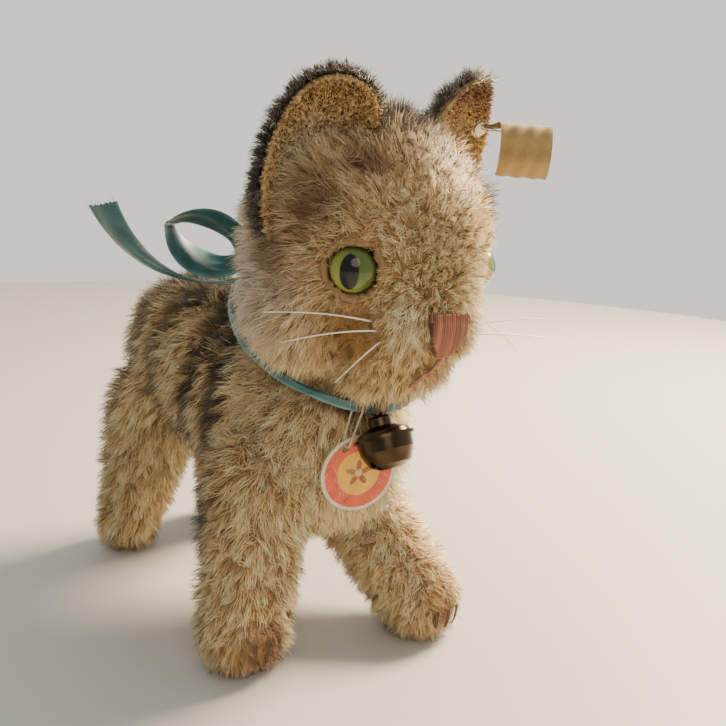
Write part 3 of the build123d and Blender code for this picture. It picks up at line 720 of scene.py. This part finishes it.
floss_chance = np.random.default_rng(71)
nose_tree = tree_of("nose_stitching")
stitches, thickness, tones = [], [], []
for x in np.arange(-5.4, 5.41, 0.54):
    slip = floss_chance.normal(0, 0.10)
    run = laid_on(nose_tree, [(x + slip * (z - 82) / 9, z) for z in np.arange(87.4, 76.0, -0.4)], 0.16)
    if len(run) < 4:
        continue
    stitches.append(run)
    thickness.append(0.36 * np.linspace(0.8, 1, len(run)) * floss_chance.uniform(0.9, 1.12))
    tone = np.array((0.31, 0.105, 0.050)) * floss_chance.uniform(0.55, 1.35)
    # Painted shade: the outermost stitches on the nose's right side, turned away from the window, are
    # darkened.
    if x < -4.2:
        tone = tone * 0.6
    tones.append(np.repeat(np.tile(tone, (len(run), 1)) * np.linspace(0.85, 1.1, len(run))[:, None], 6, 0))
nose_floss = dyed_material("rust floss", 0.6, {"Sheen Weight": 0.25, "Sheen Roughness": 0.4})
nose = tubes("nose_threads", stitches, thickness)
dye_points(nose, np.concatenate(tones))
nose.data.materials.append(nose_floss)
pad = stuffed_skin(("nose_stitching",), "nose_pad", 0.3 * MM, 2)
set_points(pad.data, points_of(pad.data) - normals_of(pad.data) * 0.12 * MM)
pad.data.polygons.foreach_set("use_smooth", [True] * len(pad.data.polygons))
dye_points(pad, np.tile((0.10, 0.025, 0.012), (len(pad.data.vertices), 1)))
pad.data.materials.append(nose_floss)
for piece in (nose, pad):
    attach(piece, "head")
    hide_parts("nose_stitching")

mouth_tree = tree_of("mouth_stitching", *HEAD_PANELS)
lines = []
for k in range(3):
    lines.append([(0.32 * (k - 1), z) for z in np.linspace(77.4, 73.3, 12)])
for side in (-1, 1):
    for k in range(3):
        drop = 73.9 - 0.38 * (k - 1)
        lines.append([(side * (0.2 + 3.9 * s), drop - 2.9 * s) for s in np.linspace(0, 1, 12)])
mouth_runs = [run for run in (laid_on(mouth_tree, line, 0.45) for line in lines) if len(run) > 3]
mouth = tubes("mouth_threads", mouth_runs, [0.30 * np.sin(np.linspace(0.35, 2.8, len(r))) ** 0.4
                                            for r in mouth_runs])
shares = np.concatenate([np.full(len(run) * 6, 0.7 + 0.5 * (k % 3) / 2) for k, run in enumerate(mouth_runs)])
dye_points(mouth, np.array((0.34, 0.12, 0.06)) * shares[:, None])
mouth.data.materials.append(nose_floss)
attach(mouth, "head")
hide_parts("mouth_stitching")

claw_runs, claw_radii = [], []
for foot, reach in (((-25.5, -27, 9.2), 10.4), ((19.5, -39, 9.0), 10.0)):
    for step in (-1, 0, 1):
        for strand in (-0.25, 0.25):
            angle = math.radians(18 * step) + strand / reach
            low_angle = np.linspace(-4, floss_chance.uniform(26, 33), 10) * math.pi / 180
            way = np.stack((math.sin(angle) * np.cos(low_angle), -math.cos(angle) * np.cos(low_angle),
                            -np.sin(low_angle)), 1)
            claw_runs.append((np.array(foot) + way * (reach + 0.35) + SHIFT) * MM)
            claw_radii.append(0.24 * np.linspace(1, 0.5, 10))
claws = tubes("claw_threads", claw_runs, claw_radii)
dye_points(claws, np.tile((0.10, 0.045, 0.025), (len(claws.data.vertices), 1)))
claws.data.materials.append(dyed_material("worn claw thread", 0.75, {"Sheen Weight": 0.2}))
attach(claws, "body")
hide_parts("claw_stitches")

# ---- whiskers ----
# Stiff white hairs, pushed through the muzzle on each side and knotted inside. They bend a little.
WHISKERS = (((-0.86, -0.62, -0.10), (-35, -52, 81)), ((-0.78, -0.70, -0.28), (-25, -57, 73.5)),
            ((-0.90, -0.52, 0.06), (-36, -47, 86)), ((0.86, -0.62, -0.10), (37, -60, 84)),
            ((0.78, -0.70, -0.28), (41.5, -59, 78.5)), ((0.90, -0.52, 0.06), (31, -54, 76)))
whisker_runs, whisker_radii = [], []
for way, tip in WHISKERS:
    root = np.array((math.copysign(4.5, way[0]), -48.5, 84)) + unit(way) * 11.5
    share = np.linspace(0, 1, 18)[:, None]
    bend = np.array((0, -1.6, 2.2)) * (share * (1 - share)) * 1.4
    whisker_runs.append(from_face(root + (np.array(tip) - root) * share + bend))
    whisker_radii.append(0.20 - 0.13 * share.ravel())
whiskers = tubes("whisker_hairs", whisker_runs, whisker_radii, 8)
dye_points(whiskers, np.tile((0.93, 0.92, 0.88), (len(whiskers.data.vertices), 1)))
whiskers.data.materials.append(dyed_material("stiff white hair", 0.3, {"Coat Weight": 0.2}))
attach(whiskers, "head")
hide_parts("whiskers")

# ---- collar ribbon and its bow ----
# One 10 mm satin ribbon, aged and thin, bunched round the neck and tied behind. Its selvedges are lighter.
# The loops are pulled thin at the knot, and the tails spread towards their frayed ends.
TEAL = np.array((0.030, 0.125, 0.135))
SELVEDGE_AND_PAINTED_SHEEN = np.array((0.13, 0.30, 0.30))
NECK_UP = np.array((0.0, -0.4226, 0.9063))
NECK_BACK = np.array((0.0, 0.9063, 0.4226))
KNOT = np.array((0.0, 5.6, 87.3))
satin = dyed_material("teal satin", 0.42, {"Sheen Weight": 0.4, "Sheen Roughness": 0.3,
                                           "Specular IOR Level": 0.6})


def ribbon_sheet(name, rows, body, node):
    """A strip from rows of points across it, coloured with its selvedges, that takes a node's place."""
    rows = np.asarray(rows)
    count, columns = rows.shape[:2]
    strip = new_piece(name, (rows.reshape(-1, 3) + SHIFT) * MM, grid_faces(count, columns, False))
    across_share = np.tile(np.abs(np.linspace(-1, 1, columns)), count)
    along_share = np.repeat(np.arange(count), columns)
    worn = 1 + 0.16 * np.sin(along_share * 0.61 + across_share * 3) + 0.10 * np.sin(along_share * 0.23)
    dye_points(strip, mixed(np.tile(TEAL, (count * columns, 1)), SELVEDGE_AND_PAINTED_SHEEN,
                            np.clip((across_share - 0.86) / 0.1, 0, 1)) * worn[:, None])
    strip.data.materials.append(satin)
    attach(strip, body)
    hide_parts(node)
    return strip


around = np.linspace(0, 2 * math.pi, 260)
collar_rows = []
for angle in around:
    row = []
    for share in np.linspace(0, 1, 33):
        fold = share * 4
        zigzag = 1 - 4 * abs((fold / 2) % 1 - 0.5)
        inset = 0.72 - 0.60 * share + 0.10 * math.sin(5 * angle + 7 * share)
        height = 1.14 * zigzag * (1 + 0.14 * math.sin(4 * angle + 2)) + 0.28 * math.sin(3 * angle + 1)
        height += 0.12 * math.sin(11 * angle + 9 * share)
        outward = np.array((math.cos(angle) * (22 - inset), 0, 0))
        outward = outward + NECK_BACK * math.sin(angle) * (27.4 - inset)
        row.append(np.array((0, -21.6, 74.6)) + outward + NECK_UP * height)
    collar_rows.append(row)
ribbon_sheet("collar_band", collar_rows, "body", "collar_ribbon")


def arc_through(start, middle, end, count):
    """Points along the circle through three flat points."""
    (ax, ay), (bx, by), (cx, cy) = start, middle, end
    scale = 2 * (ax * (by - cy) + bx * (cy - ay) + cx * (ay - by))
    sa, sb, sc = ax * ax + ay * ay, bx * bx + by * by, cx * cx + cy * cy
    ox = (sa * (by - cy) + sb * (cy - ay) + sc * (ay - by)) / scale
    oy = (sa * (cx - bx) + sb * (ax - cx) + sc * (bx - ax)) / scale
    turn_a, turn_b, turn_c = (math.atan2(y - oy, x - ox) for x, y in (start, middle, end))
    span = (turn_c - turn_a) % (2 * math.pi)
    if (turn_b - turn_a) % (2 * math.pi) > span:
        span -= 2 * math.pi
    reach = math.hypot(ax - ox, ay - oy)
    turn_at = turn_a + span * np.linspace(0, 1, count)
    return np.stack((ox + reach * np.cos(turn_at), oy + reach * np.sin(turn_at)), 1)


frays, fray_radii = [], []
for side, name in ((-1, "right"), (1, "left")):
    along, wide = unit((side * 17, 8, 9)), unit((side * 0.43, -0.9, 0))
    wide = unit(wide - along * (wide @ along))
    rise = np.cross(wide, along)
    path = np.concatenate((arc_through((0, 0.6), (12, 8.4), (22.6, 1.6), 42),
                           arc_through((22.6, 1.6), (23.2, 0.5), (22.6, -0.8), 8)[1:-1],
                           arc_through((22.6, -0.8), (12, -8.0), (0, -0.6), 42)))
    outward = np.gradient(path, axis=0)
    outward = np.stack((-outward[:, 1], outward[:, 0]), 1)
    outward /= np.linalg.norm(outward, axis=1)[:, None]
    rows = []
    for k, ((px, py), (ox, oy)) in enumerate(zip(path, outward)):
        open_ = min(1, px / 9)
        half = 2.0 + 2.5 * open_ ** 0.7
        row = []
        for v in np.linspace(-1, 1, 21):
            fold = 0.55 * (1 - open_) * math.sin(9 * v + side) + 0.22 * math.sin(4 * v + k * 0.14)
            narrow = 1 - 0.66 * ((1 - v) / 2) ** 0.8
            px_, py_ = 11 + (px - 11) * (0.55 + 0.45 * narrow) + ox * fold, py * narrow + oy * fold
            row.append(KNOT + np.array((side * 3.2, 1.0, 1.4)) + along * px_ + rise * py_ + wide * half * v)
        rows.append(row)
    ribbon_sheet(f"bow_{name}_loop_satin", rows, "body", f"bow_{name}_loop")
    along, wide, rise = unit((side, 0.15, 0)), unit((0.15, -side, 0)), np.array((0, 0, 1.0))
    path = arc_through((0, -0.4), (20.5, 1.6), (37.5, 18.7), 60)
    tangent = np.gradient(path, axis=0)
    tangent /= np.linalg.norm(tangent, axis=1)[:, None]
    rows = []
    for k, ((px, py), (tx, ty)) in enumerate(zip(path, tangent)):
        share = k / 59
        half = 1.9 + 2.6 * share ** 0.6
        twist = side * 0.55 * share
        up_way = along * -ty + rise * tx
        row = []
        for v in np.linspace(-1, 1, 21):
            fold = 0.5 * (1 - share) ** 2 * math.sin(9 * v) + 0.35 * math.sin(3.2 * v + 5 * share) * share
            end_wear = 0.5 * floss_chance.random() * (k == 59)
            over = wide * math.cos(twist) + up_way * math.sin(twist)
            place = KNOT + np.array((side * 2.9, 1.2, -2.6)) + along * (px - tx * end_wear)
            row.append(place + rise * (py - ty * end_wear) + over * half * v + up_way * fold)
        rows.append(row)
    ribbon_sheet(f"bow_{name}_tail_satin", rows, "body", f"bow_{name}_tail")
    for v in range(0, 21):
        root = np.array(rows[58][v])
        way = unit(root - np.array(rows[50][v])) + floss_chance.normal(0, 0.22, 3)
        long_ = floss_chance.uniform(0.6, 2.2)
        share = np.linspace(0, 1, 5)[:, None]
        bend = floss_chance.normal(0, 0.15, 3) * share ** 2
        frays.append((root + way * long_ * share + bend + SHIFT) * MM)
        fray_radii.append(0.05 - 0.025 * share.ravel())
fringe = tubes("bow_frayed_ends", frays, fray_radii, 4)
dye_points(fringe, np.tile(SELVEDGE_AND_PAINTED_SHEEN * 0.9, (len(fringe.data.vertices), 1)))
fringe.data.materials.append(satin)
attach(fringe, "body")

knot = stuffed_skin(("bow_knot",), "bow_knot_satin", 0.22 * MM, 5)
knot_points = points_of(knot.data)
across_knot = (knot_points / MM - SHIFT - KNOT)
pleat = 0.22 * np.sin(across_knot[:, 0] * 5.2 + 0.8 * np.sin(across_knot[:, 2] * 0.9)) - 0.15
set_points(knot.data, knot_points + normals_of(knot.data) * pleat[:, None] * MM)
knot.data.polygons.foreach_set("use_smooth", [True] * len(knot.data.polygons))
# Painted shade and highlight: the satin is darker teal in the creases of the pleats and paler on their
# ridges.
dye_points(knot, mixed(np.tile(TEAL, (len(pleat), 1)), SELVEDGE_AND_PAINTED_SHEEN, (pleat + 0.37)[:, None].ravel() * 0.7))
knot.data.materials.append(satin)
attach(knot, "body")
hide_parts("bow_knot")

# ---- bell ----
# Two pressed brass shells, crimped at a flange, dark with age. A wire loop hangs it from the ribbon, and a
# steel pellet is loose inside.


def patchy_material(name, dark, light, scale, roughness, metal, bump):
    """A finish in two tones by soft noise, with a fine raised grain."""
    material, tree, shader = colour_material(name, dark, roughness)
    shader.inputs["Metallic"].default_value = metal
    where = tree.nodes.new("ShaderNodeTexCoord")
    noise = tree.nodes.new("ShaderNodeTexNoise")
    noise.inputs["Scale"].default_value = scale
    noise.inputs["Detail"].default_value = 5
    tree.links.new(where.outputs["Object"], noise.inputs["Vector"])
    tone = tree.nodes.new("ShaderNodeMix")
    tone.data_type = "RGBA"
    tone.inputs["A"].default_value = (*dark, 1)
    tone.inputs["B"].default_value = (*light, 1)
    tree.links.new(noise.outputs["Fac"], tone.inputs["Factor"])
    tree.links.new(tone.outputs["Result"], shader.inputs["Base Color"])
    grain = tree.nodes.new("ShaderNodeBump")
    grain.inputs["Strength"].default_value = bump
    grain.inputs["Distance"].default_value = 0.0002
    tree.links.new(noise.outputs["Fac"], grain.inputs["Height"])
    tree.links.new(grain.outputs["Normal"], shader.inputs["Normal"])
    return material


def finish_nodes(material, *nodes):
    for node in nodes:
        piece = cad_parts[node]
        if not piece.material_slots:
            piece.data.materials.append(material)
        for slot in piece.material_slots:
            slot.material = material


bronze = patchy_material("dark bronze", (0.022, 0.016, 0.011), (0.12, 0.080, 0.045), 420, 0.27, 1.0, 0.25)
finish_nodes(bronze, "bell_upper_shell", "bell_lower_bowl", "bell_loop")
finish_nodes(patchy_material("drawn steel", (0.42, 0.41, 0.40), (0.60, 0.59, 0.57), 900, 0.34, 1.0, 0.15),
             "bell_pellet", "tail_wire", "eye_shanks", "neck_cotter_pin", "neck_body_washer",
             "neck_head_washer")

# ---- card tag and its thread ----
# A punched card disc, printed with a coral ring round a yellow field and a plain flower. A thread loop
# through its hole hangs it from the ribbon.
tag = stuffed_skin(("card_tag",), "card_tag_print", 0.12 * MM, 1)
tag_middle = np.array((-4.4, -40.9, 47.2))
tag_facing = unit((-0.25, -0.96, -0.05))
tag_up = unit(np.array((0, 0, 1)) - tag_facing * tag_facing[2])
tag_across = np.cross(tag_up, tag_facing)
on_card = points_of(tag.data) / MM - SHIFT - tag_middle
card_u, card_v = on_card @ tag_across, on_card @ tag_up
from_middle = np.hypot(card_u, card_v)
card_turn = np.arctan2(card_v, card_u)
print_ = np.tile((0.72, 0.66, 0.52), (len(on_card), 1))
print_ = mixed(print_, np.array((0.78, 0.11, 0.05)), (from_middle < 8.35) * (from_middle > 5.3) * 1.0)
print_ = mixed(print_, np.array((0.90, 0.48, 0.05)), (from_middle < 5.3) * 1.0)
petal = 2.1 + 1.1 * np.cos(5 * (card_turn - 1.57))
print_ = mixed(print_, np.array((0.40, 0.10, 0.04)), (from_middle < petal) * 1.0)
print_ = mixed(print_, np.array((0.80, 0.62, 0.20)), (from_middle < 0.9) * 1.0)
print_ = mixed(print_, np.array((0.62, 0.52, 0.36)), (on_card @ tag_facing < 0.15) * 1.0)
stain = 0.93 + 0.07 * np.sin(card_u * 1.3 + 2 * np.sin(card_v * 0.7))
dye_points(tag, print_ * stain[:, None])
tag.data.materials.append(dyed_material("printed card", 0.55, {"Coat Weight": 0.15, "Coat Roughness": 0.3}))
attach(tag, "tag")
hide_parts("card_tag")
finish_nodes(patchy_material("tag thread", (0.50, 0.42, 0.30), (0.70, 0.62, 0.48), 1500, 0.8, 0.0, 0.5),
             "tag_thread")

# ---- ear button and cloth flag ----
# A low nickel rivet through the left ear holds a strip of woven tape, yellow with age, curled and frayed.
finish_nodes(patchy_material("worn nickel", (0.36, 0.33, 0.28), (0.58, 0.55, 0.49), 700, 0.36, 1.0, 0.12),
             "ear_button")
flag_middle = np.array((35.0, -45.0, 121.0))
flag_facing = unit((-0.63, -0.74, 0.24))
flag_along = -unit(np.cross(flag_facing, (0, 0, 1)))
flag_side = np.cross(flag_along, flag_facing)
flag_tree = tree_of("ear_flag")
flag_rows = []
for turn_at in np.linspace(-1.49, 1.49, 60):
    row = []
    for w in np.linspace(-5.9, 5.9, 40):
        reach = 6.25 + 0.12 * math.sin(w * 1.7 + turn_at * 2)
        row.append(flag_middle + (flag_facing * math.cos(turn_at) + flag_side * math.sin(turn_at)) * reach
                   + flag_along * w)
    flag_rows.append(row)
flag_points = from_face(np.array(flag_rows).reshape(-1, 3))
near = [flag_tree.find_nearest(Vector(p))[3] < 0.9 * MM for p in flag_points]
flag_faces = [face for face in grid_faces(60, 40, False) if all(near[c] for c in face)]
used = sorted({c for face in flag_faces for c in face})
renumber = {c: k for k, c in enumerate(used)}
flag_quads = [tuple(renumber[c] for c in face) for face in flag_faces]
flag = new_piece("ear_flag_cloth", flag_points[used], flag_quads)
flag_tint = 0.9 + 0.12 * np.sin(points_of(flag.data)[:, 2] / MM * 1.1)
flag_tint = flag_tint + floss_chance.normal(0, 0.05, len(used))
dye_points(flag, np.array((0.44, 0.29, 0.10)) * flag_tint[:, None])
flag_cloth = dyed_material("aged woven tape", 0.85, {"Sheen Weight": 0.2})
flag.data.materials.append(flag_cloth)
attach(flag, "head")
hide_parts("ear_flag")

button_middle = points_of(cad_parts["ear_button"].data).mean(0)
edge = sorted(points_of(flag.data).tolist(), key=lambda p: math.dist(p, button_middle))[:160:8]
torn_runs, torn_radii = [], []
for end in edge:
    end = np.array(end)
    share = np.linspace(0, 1, 12)[:, None]
    sag = np.array((0, 0, -1.0)) * share * (1 - share) * floss_chance.uniform(0.5, 2.0) * MM
    torn_runs.append(end + (button_middle + floss_chance.normal(0, 0.4, 3) * MM - end) * share + sag)
    torn_radii.append(np.full(12, 0.11))
torn = tubes("ear_flag_torn_end", torn_runs, torn_radii, 5)
dye_points(torn, np.tile((0.30, 0.20, 0.08), (len(torn.data.vertices), 1)))
torn.data.materials.append(flag_cloth)
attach(torn, "head")

# ---- parts inside the cloth ----
# Wood wool packed hard, and the pressed-board discs of the neck joint.
finish_nodes(patchy_material("wood wool", (0.50, 0.35, 0.17), (0.78, 0.62, 0.38), 700, 0.85, 0.0, 0.8),
             "body_stuffing", "head_stuffing")
finish_nodes(patchy_material("pressed board", (0.20, 0.12, 0.065), (0.33, 0.21, 0.12), 500, 0.7, 0.0, 0.3),
             "neck_body_disc", "neck_head_disc")
